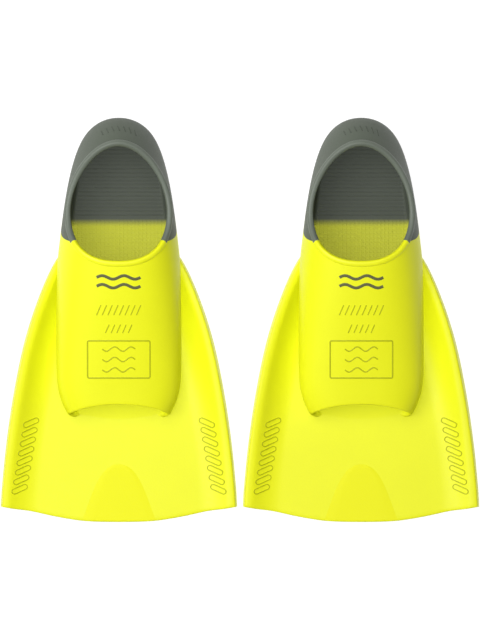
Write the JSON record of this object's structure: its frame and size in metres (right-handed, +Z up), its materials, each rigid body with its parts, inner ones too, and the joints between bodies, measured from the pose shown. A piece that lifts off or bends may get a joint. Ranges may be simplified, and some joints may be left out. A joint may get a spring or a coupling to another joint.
{
  "type": "swim fins",
  "caption": "Pair of short-blade training swim fins with closed heels, moulded in two colours of soft silicone, with an open toe window and raised side rails along each blade.",
  "frame": {"origin": "middle of the pair's footprint, on the floor the fins lie on", "axes": "+Z up from the soles, +Y towards the heels, +X across the pair from the left fin to the right fin"},
  "size_m": [0.438, 0.3698, 0.0751],
  "materials": {
    "yellow_silicone": "satin moulded silicone, fluorescent yellow",
    "grey_silicone": "satin moulded silicone, grey green",
    "grey_print": "matte silicone ink"
  },
  "bodies": {
    "left_fin": {"left_foot_pocket": "yellow_silicone", "left_sole": "yellow_silicone", "left_print_wave_rear": "grey_print", "left_print_wave_front": "grey_print"},
    "left_heel": {"left_heel_cup": "grey_silicone"},
    "left_blade_end": {"left_blade": "yellow_silicone"},
    "right_fin": {"right_foot_pocket": "yellow_silicone", "right_sole": "yellow_silicone", "right_print_wave_rear": "grey_print", "right_print_wave_front": "grey_print"},
    "right_heel": {"right_heel_cup": "grey_silicone"},
    "right_blade_end": {"right_blade": "yellow_silicone"}
  },
  "joints": [
    {"name": "left_blade_flex", "type": "hinge", "parent": "left_fin", "child": "left_blade_end", "pos_m": [-0.1108, -0.108, 0.0022], "axis": [-1, 0, 0], "range_deg": [-25, 35], "stiffness_Nm_per_rad": 2},
    {"name": "left_heel_stretch", "type": "slide", "parent": "left_fin", "child": "left_heel", "axis": [0, 1, 0], "range_m": [0, 0.012], "stiffness_N_per_m": 6000},
    {"name": "right_fin_slide", "type": "slide", "parent": "left_fin", "child": "right_fin", "axis": [1, 0, 0], "range_m": [0, 0.25]},
    {"name": "right_blade_flex", "type": "hinge", "parent": "right_fin", "child": "right_blade_end", "pos_m": [0.1108, -0.108, 0.0022], "axis": [-1, 0, 0], "range_deg": [-25, 35], "stiffness_Nm_per_rad": 2},
    {"name": "right_heel_stretch", "type": "slide", "parent": "right_fin", "child": "right_heel", "axis": [0, 1, 0], "range_m": [0, 0.012], "stiffness_N_per_m": 6000}
  ]
}
